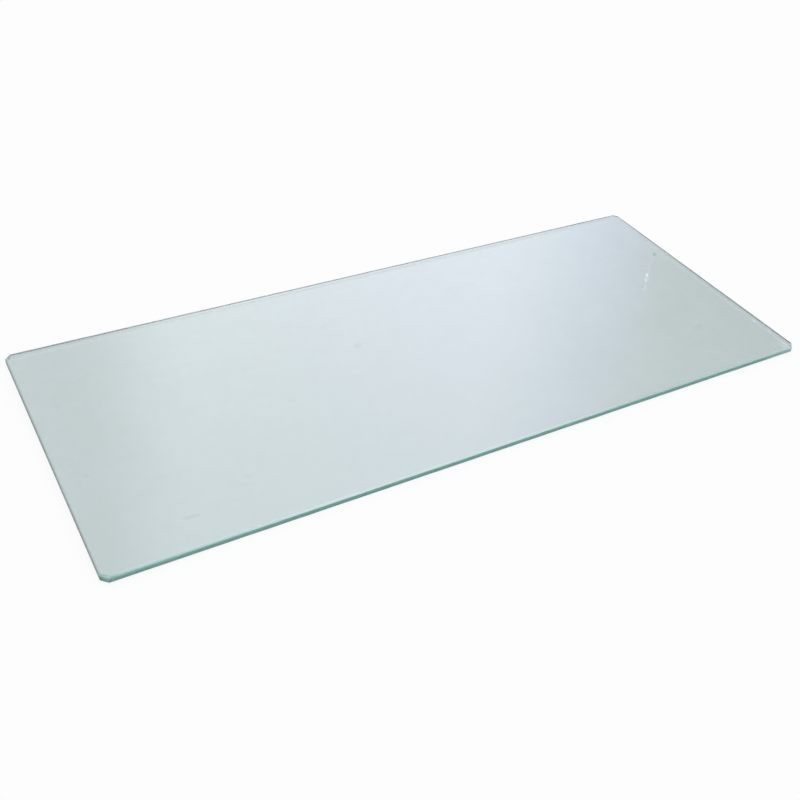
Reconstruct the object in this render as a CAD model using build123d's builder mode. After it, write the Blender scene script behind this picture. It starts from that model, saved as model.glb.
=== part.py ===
"""A glass shelf for a refrigerator: one pane of toughened float glass.

The pane lies flat. The origin is the centre of its underside, +X runs along its length
to the right, +Y runs to its back edge and +Z is up.
"""
import os

from build123d import *

# Driving dimensions, in millimetres
pane_length = 474.0
pane_depth = 193.0
glass_thickness = 5.0

# Leg of the 45 degree cut that dubs off each corner of the outline
corner_dub = 3.5

# Leg of the 45 degree arris ground along both rims of the pane's edge
arris = 1.0

with BuildPart() as glass_pane:
    # The blank is cut square, and its corners are dubbed before the rims are ground
    with BuildSketch() as cut_outline:
        Rectangle(pane_length, pane_depth)
        chamfer(cut_outline.vertices(), corner_dub)
    extrude(amount=glass_thickness)

    # One arris runs unbroken round the eight sides of each rim and mitres at every dub
    underside = glass_pane.faces().sort_by(Axis.Z)[0]
    top = glass_pane.faces().sort_by(Axis.Z)[-1]
    chamfer(underside.edges() + top.edges(), arris)

glass_pane.part.label = "glass_pane"

os.makedirs("parts", exist_ok=True)
export_step(glass_pane.part, "parts/glass_pane.step")

print(f"volume {glass_pane.part.volume / 1000:.1f} cm3, faces {len(glass_pane.part.faces())}")
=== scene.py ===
import math

import bmesh
import bpy
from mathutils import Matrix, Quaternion, Vector, noise


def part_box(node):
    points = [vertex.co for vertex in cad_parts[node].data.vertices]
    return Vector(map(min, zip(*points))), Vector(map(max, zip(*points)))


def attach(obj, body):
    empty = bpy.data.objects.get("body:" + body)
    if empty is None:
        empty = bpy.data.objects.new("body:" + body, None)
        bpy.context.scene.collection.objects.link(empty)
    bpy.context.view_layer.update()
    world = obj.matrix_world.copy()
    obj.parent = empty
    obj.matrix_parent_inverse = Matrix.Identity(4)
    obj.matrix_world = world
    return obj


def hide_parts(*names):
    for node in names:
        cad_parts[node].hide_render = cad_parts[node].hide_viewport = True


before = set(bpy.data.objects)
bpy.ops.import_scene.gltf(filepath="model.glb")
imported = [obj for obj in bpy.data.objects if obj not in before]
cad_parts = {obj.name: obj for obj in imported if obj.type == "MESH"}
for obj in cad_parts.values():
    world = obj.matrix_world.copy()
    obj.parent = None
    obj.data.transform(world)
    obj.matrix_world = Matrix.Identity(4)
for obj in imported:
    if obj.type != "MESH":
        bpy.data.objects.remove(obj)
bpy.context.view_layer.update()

# The camera stands half a metre off the pane's front left corner, looks down across it to the
# right, and is tilted a little, as the photograph's was. The lens is a standard one, given
# with the width of its picture.
camera_place = Vector((-0.29767, -0.42492, 0.38343))
look_bearing = math.radians(33.691)
look_down = math.radians(39.100)
camera_roll = math.radians(6.200)
lens_mm = 45.252
picture_mm = 36.0

look_direction = Vector((
    math.sin(look_bearing) * math.cos(look_down),
    math.cos(look_bearing) * math.cos(look_down),
    -math.sin(look_down),
))
level_view = look_direction.to_track_quat("-Z", "Y")
camera_data = bpy.data.cameras.new("camera")
camera_data.lens = lens_mm
camera_data.sensor_width = picture_mm
camera = bpy.data.objects.new("camera", camera_data)
camera.location = camera_place
camera.rotation_mode = "QUATERNION"
camera.rotation_quaternion = level_view @ Quaternion((0, 0, 1), camera_roll)
bpy.context.scene.collection.objects.link(camera)
bpy.context.scene.camera = camera

# The pane is one piece of toughened float glass, 5 mm thick, cut square and dubbed at its
# corners. Its edge is ground to a satin flat with an arris along both rims, by hand on a
# belt, so the arris wanders a little. It lies loose, with nothing fixed to it.
low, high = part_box("glass_pane")
corner_dub = 0.0035
arris = 0.0010
arris_wander = 0.00012
slow_wander = 60
quick_wander = 240
belt_step = 0.003
broken_line = 0.00008

# An edge that rises by less than level_run is level, one that runs further than longest_dub
# is no dub, and a bend of more than least_bend, in radians, is a line of the arris.
level_run = 0.001
longest_dub = 0.05
least_bend = 0.3

mesh = bpy.data.meshes.new("shelf_pane")
bm = bmesh.new()
bmesh.ops.create_cube(bm, size=1.0)
bmesh.ops.scale(bm, vec=high - low, verts=bm.verts)
bmesh.ops.translate(bm, vec=(low + high) / 2, verts=bm.verts)


def run(edge):
    return edge.verts[1].co - edge.verts[0].co


corners = [e for e in bm.edges if abs(run(e).z) > level_run]
bmesh.ops.bevel(bm, geom=corners, offset=corner_dub, segments=1, profile=0.5, affect="EDGES", material=-1)
rims = [e for e in bm.edges if abs(run(e).z) < level_run]
bmesh.ops.bevel(bm, geom=rims, offset=arris, segments=1, profile=0.5, affect="EDGES", material=-1)

# Each line of an arris is cut into short lengths, and wanders within the face it lies on, so
# both faces stay flat.
for axis in (0, 1):
    lines = [e for e in bm.edges if abs(run(e)[axis]) > longest_dub]
    cuts = round(run(lines[0]).length / belt_step) - 1
    bmesh.ops.subdivide_edges(bm, edges=lines, cuts=cuts, use_grid_fill=True)
    for vert in bm.verts:
        side = 1 - axis
        from_wall = high[side] - abs(vert.co[side])
        inside_run = abs(vert.co[axis]) < high[axis] - corner_dub - belt_step / 2
        if from_wall > 2 * arris or not inside_run:
            continue
        sway = noise.noise(vert.co * slow_wander) + 0.5 * noise.noise(vert.co * quick_wander)
        if from_wall > arris / 2:
            vert.co[side] += arris_wander * sway
        else:
            vert.co.z += arris_wander * sway

# A touch of the belt breaks the arris's two lines, so neither is a knife edge.
bm.normal_update()
sharp = [e for e in bm.edges if len(e.link_faces) == 2 and e.calc_face_angle() > least_bend]
bmesh.ops.bevel(bm, geom=sharp, offset=broken_line, segments=2, profile=0.5, affect="EDGES", material=-1)
bmesh.ops.recalc_face_normals(bm, faces=bm.faces)
bm.normal_update()

# The faces are marked as polished or ground by how they lean, and the arris among the ground
# ones.
polished_lean = 0.99
arris_lean = 0.2
ground = bm.faces.layers.float.new("ground")
seamed = bm.faces.layers.float.new("seamed")
for face in bm.faces:
    lean = abs(face.normal.z)
    face[ground] = 0.0 if lean > polished_lean else 1.0
    face[seamed] = 1.0 if arris_lean < lean < polished_lean else 0.0
bm.to_mesh(mesh)
bm.free()
pane = bpy.data.objects.new("shelf_pane", mesh)
bpy.context.scene.collection.objects.link(pane)

glass = bpy.data.materials.new("clear_glass")
glass.use_nodes = True
nodes, links = glass.node_tree.nodes, glass.node_tree.links


def into(socket, value):
    if isinstance(value, bpy.types.NodeSocket):
        links.new(value, socket)
    elif isinstance(value, tuple) and socket.type == "RGBA":
        socket.default_value = (*value, 1.0)
    else:
        socket.default_value = value


def reckon(operation, *values):
    node = nodes.new("ShaderNodeMath")
    node.operation = operation
    for socket, value in zip(node.inputs, values):
        into(socket, value)
    return node.outputs["Value"]


def ramp(value, start, end, at_start=0.0, at_end=1.0, kind="SMOOTHSTEP"):
    node = nodes.new("ShaderNodeMapRange")
    node.interpolation_type = kind
    into(node.inputs["Value"], value)
    into(node.inputs["From Min"], start)
    into(node.inputs["From Max"], end)
    into(node.inputs["To Min"], at_start)
    into(node.inputs["To Max"], at_end)
    return node.outputs["Result"]


def blended(share, first, second):
    node = nodes.new("ShaderNodeMix")
    node.data_type = "RGBA"
    into(node.inputs["Factor"], share)
    into(node.inputs["A"], first)
    into(node.inputs["B"], second)
    return node.outputs["Result"]


def marked(name):
    node = nodes.new("ShaderNodeAttribute")
    node.attribute_name = name
    return node.outputs["Fac"]


place = nodes.new("ShaderNodeTexCoord").outputs["Object"]
split_place = nodes.new("ShaderNodeSeparateXYZ")
into(split_place.inputs["Vector"], place)
along = split_place.outputs["X"]
deep = split_place.outputs["Y"]
height = split_place.outputs["Z"]


def cloud(size, detail, stretch=(1.0, 1.0, 1.0)):
    node = nodes.new("ShaderNodeTexNoise")
    scaled = nodes.new("ShaderNodeMapping")
    into(scaled.inputs["Vector"], place)
    into(scaled.inputs["Scale"], stretch)
    into(node.inputs["Vector"], scaled.outputs["Vector"])
    into(node.inputs["Scale"], 1.0 / size)
    into(node.inputs["Detail"], detail)
    return node.outputs["Fac"]


# The body of the glass is clear and pale green, and its ground edge lets light through softly. Seen from
# within, that edge is darkened by painted shade towards both ends, at the right end most of all in front,
# and the back left dub has more painted shade still. Light that runs the length of the pane comes out
# green. A pair of places says where a change begins and ends, in metres from the pane's middle or
# underside.
glass_ior = 1.52
satin_roughness = 0.45
# The faces' tint is partly the glass's own and partly painted shade: it darkens all that shows through
# the pane, as the shade under the pane would.
face_tint_and_shade = (0.746, 0.808, 0.822)
ground_tint = (0.80, 0.88, 0.86)
flat_tint_inside = (0.70, 0.74, 0.73)
flat_shade_ends = (0.61, 0.63, 0.62)
arris_tint_inside = (0.88, 0.91, 0.91)
arris_shade_ends = (0.62, 0.64, 0.63)
dub_painted_shade = (0.46, 0.47, 0.47)
left_dimming = (-0.20, -0.05)
right_dimming = (0.05, 0.235)
front_to_back = (-0.02, 0.09)
back_share = 0.3
dub_run = (low.x + 0.0030, low.x + 0.0040)
dub_depth = (high.y - 0.0040, high.y - 0.0030)
body_green = (0.35, 0.80, 0.62)
body_density = 12.0

is_ground = marked("ground")
is_seamed = marked("seamed")
outside = reckon("SUBTRACT", 1.0, nodes.new("ShaderNodeNewGeometry").outputs["Backfacing"])
# Painted shade: seen from within, the edge darkens towards both ends, and most at the back left dub.
near_left = ramp(along, *left_dimming, 1.0, 0.0)
near_right = reckon("MULTIPLY", ramp(along, *right_dimming), ramp(deep, *front_to_back, 1.0, back_share))
painted_end_shade = reckon("MAXIMUM", near_left, near_right)
flat_within = blended(painted_end_shade, flat_tint_inside, flat_shade_ends)
arris_within = blended(reckon("POWER", painted_end_shade, 2.0), arris_tint_inside, arris_shade_ends)
within = blended(is_seamed, flat_within, arris_within)
back_dub_dimming = reckon("MULTIPLY", ramp(along, *dub_run, 1.0, 0.0), ramp(deep, *dub_depth))
within = blended(back_dub_dimming, within, dub_painted_shade)
clear = nodes["Principled BSDF"]
into(clear.inputs["IOR"], glass_ior)
into(clear.inputs["Transmission Weight"], 1.0)
into(clear.inputs["Base Color"], blended(is_ground, face_tint_and_shade, blended(outside, within, ground_tint)))
into(clear.inputs["Roughness"], ramp(is_ground, 0.0, 1.0, 0.0, satin_roughness))
depth_green = nodes.new("ShaderNodeVolumeAbsorption")
into(depth_green.inputs["Color"], body_green)
into(depth_green.inputs["Density"], body_density)
links.new(depth_green.outputs["Volume"], nodes["Material Output"].inputs["Volume"])

# Grinding leaves a frosted skin on the edge. The flat is deep green, its lower side darkened by painted
# shade and its upper side lightened by painted light, most at the left and least at the right. The arris
# is whiter, with a painted highlight that is brightest along the middle, and at the left it pales towards
# its rim. The left end is made greyer by painted shade, and the front left corner deeper by painted
# shade.
flat_painted_shade = (0.225, 0.555, 0.435)
flat_painted_light = (0.37, 0.77, 0.65)
flat_painted_light_left = (0.48, 0.95, 0.81)
flat_painted_light_right = (0.35, 0.68, 0.58)
flat_left_end_shade = (0.19, 0.33, 0.26)
flat_rise = (0.0020, 0.0042)
flat_left_run = (-0.21, -0.13)
flat_right_run = (0.09, 0.15)
arris_left = (0.43, 0.64, 0.56)
arris_left_rim = (0.67, 0.82, 0.77)
arris_white_highlight = (0.77, 0.97, 0.89)
arris_right = (0.56, 0.765, 0.695)
arris_left_end_shade = (0.28, 0.34, 0.30)
arris_left_end_light = (0.61, 0.67, 0.62)
arris_rise = (0.0040, 0.0048)
rim_rise = (0.0042, 0.0048)
rim_run = (low.x + arris, low.x + 0.0050)
arris_left_run = (-0.24, -0.12)
arris_right_run = (0.0, 0.12)
corner_shade_colour = (0.24, 0.50, 0.42)
corner_shade_share = 0.35
corner_run = (low.x + corner_dub, low.x + 0.0130)
corner_depth = (low.y + 0.0045, low.y + 0.0085)
end_skin = (low.x + arris / 2, low.x + 1.5 * arris)
flat_share = 0.50
arris_share = 0.85

# Painted light on the flat's upper side, and painted shade on its lower side.
flat_lit_top = blended(ramp(along, *flat_left_run), flat_painted_light_left, flat_painted_light)
flat_lit_top = blended(ramp(along, *flat_right_run), flat_lit_top, flat_painted_light_right)
flat_colour_and_shade = blended(ramp(height, *flat_rise), flat_painted_shade, flat_lit_top)
near_rim = reckon("MULTIPLY", ramp(height, *rim_rise), ramp(along, *rim_run))
arris_at_left = blended(near_rim, arris_left, arris_left_rim)
# A painted highlight makes the arris whitest along the middle and duller towards both ends.
arris_colour_and_highlight = blended(ramp(along, *arris_left_run, kind="LINEAR"), arris_at_left, arris_white_highlight)
arris_colour_and_highlight = blended(ramp(along, *arris_right_run), arris_colour_and_highlight, arris_right)
# The left end is painted greyer as shade, darker low down and lighter at the top.
arris_end = blended(ramp(height, *arris_rise), arris_left_end_shade, arris_left_end_light)
side_colour_and_light = blended(is_seamed, flat_colour_and_shade, arris_colour_and_highlight)
end_colour_and_shade = blended(is_seamed, flat_left_end_shade, arris_end)
edge_colour_and_light = blended(ramp(along, *end_skin, 1.0, 0.0), side_colour_and_light, end_colour_and_shade)
# Painted shade deepens the edge near the front left corner.
by_corner_shade = ramp(along, *corner_run, corner_shade_share, 0.0)
front_corner_shade = reckon("MULTIPLY", by_corner_shade, ramp(deep, *corner_depth, 1.0, 0.0))
edge_colour_and_light = blended(front_corner_shade, edge_colour_and_light, corner_shade_colour)
flat_part = reckon("MULTIPLY", is_ground, flat_share)
edge_share = reckon("MULTIPLY_ADD", is_seamed, arris_share - flat_share, flat_part)

# Use has left marks on the top: a pale scratch near the right end, a dark speck beyond it,
# small shell chips along the right rim, faint smears and specks, and a thin uneven haze.
# Each mark is given by its place in millimetres, its length and width, its turn in degrees
# and its strength.
scratch_marks = (
    (213.0, 26.3, 20.0, 3.0, 46.0, 0.08),
    (204.8, 18.6, 16.0, 2.2, 46.0, 0.19),
    (199.1, 14.0, 8.0, 2.7, 50.0, 1.0),
    (194.1, 9.2, 13.0, 3.9, 47.0, 0.42),
    (185.9, 1.5, 18.0, 2.2, 40.0, 0.26),
)
chip_marks = (
    (231.0, -63.2, 7.0, 5.0, 60.0, 0.32),
    (232.4, -39.9, 3.0, 1.8, 90.0, 0.30),
    (232.0, 55.0, 3.0, 2.0, 85.0, 0.30),
    (231.6, 48.7, 2.6, 1.8, 95.0, 0.25),
    (229.0, -93.0, 13.0, 7.0, 55.0, 0.22),
    (232.6, -12.0, 2.4, 1.6, 90.0, 0.22),
    (232.2, -76.5, 3.4, 2.0, 80.0, 0.25),
)
dirt_marks = (
    (224.4, 35.0, 6.0, 3.7, 49.0, 0.28),
    (-184.4, -75.6, 14.0, 4.0, -2.0, 0.07),
    (-197.5, -76.2, 12.0, 3.2, -12.0, 0.04),
    (227.0, -64.0, 3.0, 2.0, 0.0, 0.08),
    (203.5, -18.5, 14.0, 7.0, 60.0, 0.035),
    (187.8, -53.0, 16.0, 9.0, 20.0, 0.035),
    (-37.0, 20.9, 10.0, 8.0, 35.0, 0.07),
    (-222.7, -24.5, 4.0, 2.2, 10.0, 0.10),
    (-158.0, 41.2, 3.4, 2.8, 0.0, 0.06),
    (-151.5, 38.4, 3.4, 2.8, 0.0, 0.06),
    (-220.6, 36.5, 4.0, 2.8, 0.0, 0.06),
    (-97.2, -12.3, 7.0, 5.0, 20.0, 0.04),
    (-111.7, 26.4, 5.0, 4.0, 30.0, 0.05),
    (29.7, -13.5, 3.4, 2.8, 0.0, 0.06),
    (21.0, 87.1, 4.5, 1.8, 20.0, 0.08),
    (-145.8, -60.7, 9.0, 6.0, 15.0, 0.022),
    (97.5, -22.2, 4.0, 3.0, 0.0, 0.05),
)
pale_mark = (0.80, 0.93, 0.94)
dark_mark = (0.05, 0.14, 0.11)
dark_from = 0.05
mark_core = 0.6
mark_thickness = 0.001
ragged_size = 1.0 / 700.0
ragged_reach = 0.0005
smear_size = 0.030
smear_stretch = (0.6, 1.0, 1.0)
smear_limits = (0.38, 0.68)
smear_share = 0.045
dust_size = 0.0025
dust_limits = (0.70, 0.80)
dust_share = 0.03

ragged = nodes.new("ShaderNodeTexNoise")
into(ragged.inputs["Vector"], place)
into(ragged.inputs["Scale"], 1.0 / ragged_size)
ragged_place = nodes.new("ShaderNodeVectorMath")
ragged_place.operation = "MULTIPLY_ADD"
into(ragged_place.inputs[0], ragged.outputs["Color"])
into(ragged_place.inputs[1], (ragged_reach, ragged_reach, 0.0))
into(ragged_place.inputs[2], place)


def marks(spots):
    total = None
    for x, y, length, width, turn, strength in spots:
        middle = (x / 1000 + ragged_reach / 2, y / 1000 + ragged_reach / 2, high.z)
        seat = nodes.new("ShaderNodeMapping")
        seat.vector_type = "TEXTURE"
        into(seat.inputs["Vector"], ragged_place.outputs["Vector"])
        into(seat.inputs["Location"], middle)
        into(seat.inputs["Rotation"], (0.0, 0.0, math.radians(turn)))
        into(seat.inputs["Scale"], (length / 2000, width / 2000, mark_thickness))
        spot = nodes.new("ShaderNodeTexGradient")
        spot.gradient_type = "SPHERICAL"
        into(spot.inputs["Vector"], seat.outputs["Vector"])
        soft = ramp(spot.outputs["Fac"], 0.0, mark_core, 0.0, strength)
        total = soft if total is None else reckon("MAXIMUM", total, soft)
    return total


pale_marks = reckon("MAXIMUM", marks(scratch_marks), marks(chip_marks))
dark_marks = marks(dirt_marks)
smears = ramp(cloud(smear_size, 3.0, smear_stretch), *smear_limits, 0.0, smear_share)
dust = ramp(cloud(dust_size, 1.0), *dust_limits, 0.0, dust_share)
haze = reckon("MULTIPLY", reckon("ADD", smears, dust), reckon("SUBTRACT", 1.0, is_ground))
mark_share = reckon("MAXIMUM", reckon("MAXIMUM", pale_marks, dark_marks), haze)
mark_colour = blended(ramp(dark_marks, 0.0, dark_from), pale_mark, dark_mark)

# The frosted skin shows on the outside only, and a fine grain stands on it. Toughening rolls
# the hot pane over rods, which leaves its faces wavy, by a few hundredths of a millimetre.
frost_roughness = 0.5
wave_size = 0.05
wave_stretch = (1.0, 0.4, 1.0)
wave_height = 0.00015
grain_size = 0.0004
grain_height = 0.00005
grain_strength = 0.25

roller_wave = nodes.new("ShaderNodeBump")
into(roller_wave.inputs["Strength"], 1.0)
into(roller_wave.inputs["Distance"], wave_height)
into(roller_wave.inputs["Height"], cloud(wave_size, 1.0, wave_stretch))
grain = nodes.new("ShaderNodeBump")
into(grain.inputs["Strength"], grain_strength)
into(grain.inputs["Distance"], grain_height)
into(grain.inputs["Height"], reckon("MULTIPLY", cloud(grain_size, 2.0), is_ground))
into(grain.inputs["Normal"], roller_wave.outputs["Normal"])
frost = nodes.new("ShaderNodeBsdfPrincipled")
into(frost.inputs["Roughness"], frost_roughness)
into(frost.inputs["Base Color"], blended(is_ground, mark_colour, edge_colour_and_light))
into(frost.inputs["Normal"], grain.outputs["Normal"])
into(clear.inputs["Normal"], grain.outputs["Normal"])
frost_share = reckon("MAXIMUM", edge_share, mark_share)
skin = nodes.new("ShaderNodeMixShader")
into(skin.inputs["Fac"], reckon("MULTIPLY", frost_share, outside))
links.new(clear.outputs["BSDF"], skin.inputs[1])
links.new(frost.outputs["BSDF"], skin.inputs[2])
links.new(skin.outputs["Shader"], nodes["Material Output"].inputs["Surface"])
mesh.materials.append(glass)
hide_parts("glass_pane")
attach(pane, "root")

# The floor is a wide plain white sheet just under the pane. The camera sees it close to pure
# white, with only a trace of the pane's shadow.
floor_gap = 0.0003
floor_half = 6.0
paper_white = (0.97, 0.97, 0.97)
shadow_share = 0.15
shadow_through_glass = 0.30

floor_mesh = bpy.data.meshes.new("floor")
bm = bmesh.new()
bmesh.ops.create_grid(bm, x_segments=1, y_segments=1, size=floor_half)
bmesh.ops.translate(bm, vec=(0, 0, low.z - floor_gap), verts=bm.verts)
bm.to_mesh(floor_mesh)
bm.free()
floor = bpy.data.objects.new("floor", floor_mesh)
bpy.context.scene.collection.objects.link(floor)
paper = bpy.data.materials.new("white_paper")
paper.use_nodes = True
nodes, links = paper.node_tree.nodes, paper.node_tree.links
paper_body = nodes["Principled BSDF"]
into(paper_body.inputs["Base Color"], paper_white)
into(paper_body.inputs["Roughness"], 1.0)
into(paper_body.inputs["Specular IOR Level"], 0.0)
plain_white = nodes.new("ShaderNodeEmission")
into(plain_white.inputs["Strength"], 1.0)
rays = nodes.new("ShaderNodeLightPath")
seen_white = reckon("MULTIPLY", rays.outputs["Is Camera Ray"], 1.0 - shadow_share)
glass_white = reckon("MULTIPLY", rays.outputs["Is Transmission Ray"], 1.0 - shadow_through_glass)
paper_mix = nodes.new("ShaderNodeMixShader")
into(paper_mix.inputs["Fac"], reckon("MAXIMUM", seen_white, glass_white))
links.new(paper_body.outputs["BSDF"], paper_mix.inputs[1])
links.new(plain_white.outputs["Emission"], paper_mix.inputs[2])
links.new(paper_mix.outputs["Shader"], nodes["Material Output"].inputs["Surface"])
floor_mesh.materials.append(paper)

# The light is a white studio with a ring of six tall soft windows, which the pane mirrors, and
# a pale ceiling. Each window turns blue at its right jamb, and the lit wall is blue there too.
# The wall is dim above and between them. Behind the floor the camera sees plain white.
window_step = 60.0
window_middle = 30.0
window_left = (1.72, 1.70, 1.80)
window_right = (1.75, 1.70, 2.02)
window_blue = (1.75, 1.78, 2.45)
wall_left = (0.37, 0.36, 0.38)
wall_blue = (0.39, 0.36, 0.53)
wall_right = (0.37, 0.365, 0.345)
wall_dim = (0.08, 0.08, 0.08)
ceiling_light = (1.25, 1.25, 1.25)
backdrop_white = (1.0, 1.0, 1.0)

# These reach from one bearing to another, in degrees to the right of a window's middle.
left_jamb = (-20.0, -11.0)
right_jamb = (8.0, 21.0)
window_turn = (-14.0, 8.0)
window_blue_turn = (11.0, 17.0)
wall_begins = (-30.0, -22.0)
wall_ends = (16.0, 27.0)
wall_blue_turn = (-5.0, 5.0)
wall_right_turn = (17.2, 19.6)

# These reach from one height to another, as the rise of a straight line one unit long.
sill = (0.20, 0.42)
sill_light = 0.5
head = (0.50, 0.78)
head_light = 0.55
lit_wall_top = (0.60, 0.76)
ceiling_begins = (0.74, 0.92)

world = bpy.data.worlds.new("studio")
bpy.context.scene.world = world
world.use_nodes = True
nodes, links = world.node_tree.nodes, world.node_tree.links
nodes.clear()

split_toward = nodes.new("ShaderNodeSeparateXYZ")
into(split_toward.inputs["Vector"], nodes.new("ShaderNodeTexCoord").outputs["Generated"])
rise = split_toward.outputs["Z"]
bearing = reckon("ARCTAN2", split_toward.outputs["X"], split_toward.outputs["Y"])
half_step = math.radians(window_step) / 2
across = reckon("WRAP", reckon("SUBTRACT", bearing, math.radians(window_middle)), half_step, -half_step)


def over(reach, at_start=0.0, at_end=1.0):
    return ramp(across, math.radians(reach[0]), math.radians(reach[1]), at_start, at_end)


between_jambs = reckon("MULTIPLY", over(left_jamb), over(right_jamb, 1.0, 0.0))
upright = reckon("MULTIPLY", ramp(rise, *head, 1.0, head_light), ramp(rise, *sill, sill_light, 1.0))
window = reckon("MULTIPLY", between_jambs, upright)
daylight = blended(over(window_turn), window_left, window_right)
daylight = blended(over(window_blue_turn), daylight, window_blue)
beside_window = reckon("MULTIPLY", over(wall_begins), over(wall_ends, 1.0, 0.0))
lit_wall = reckon("MULTIPLY", beside_window, ramp(rise, *lit_wall_top, 1.0, 0.0))
wall = blended(over(wall_blue_turn), wall_left, wall_blue)
wall = blended(over(wall_right_turn), wall, wall_right)
walls = blended(window, blended(lit_wall, wall_dim, wall), daylight)
studio = nodes.new("ShaderNodeBackground")
into(studio.inputs["Color"], blended(ramp(rise, *ceiling_begins), walls, ceiling_light))
backdrop = nodes.new("ShaderNodeBackground")
into(backdrop.inputs["Color"], backdrop_white)
rays = nodes.new("ShaderNodeLightPath")
sky = nodes.new("ShaderNodeMixShader")
links.new(rays.outputs["Is Camera Ray"], sky.inputs["Fac"])
links.new(studio.outputs["Background"], sky.inputs[1])
links.new(backdrop.outputs["Background"], sky.inputs[2])
world_output = nodes.new("ShaderNodeOutputWorld")
links.new(sky.outputs["Shader"], world_output.inputs["Surface"])

bpy.context.scene.view_settings.view_transform = "Standard"
bpy.context.view_layer.update()
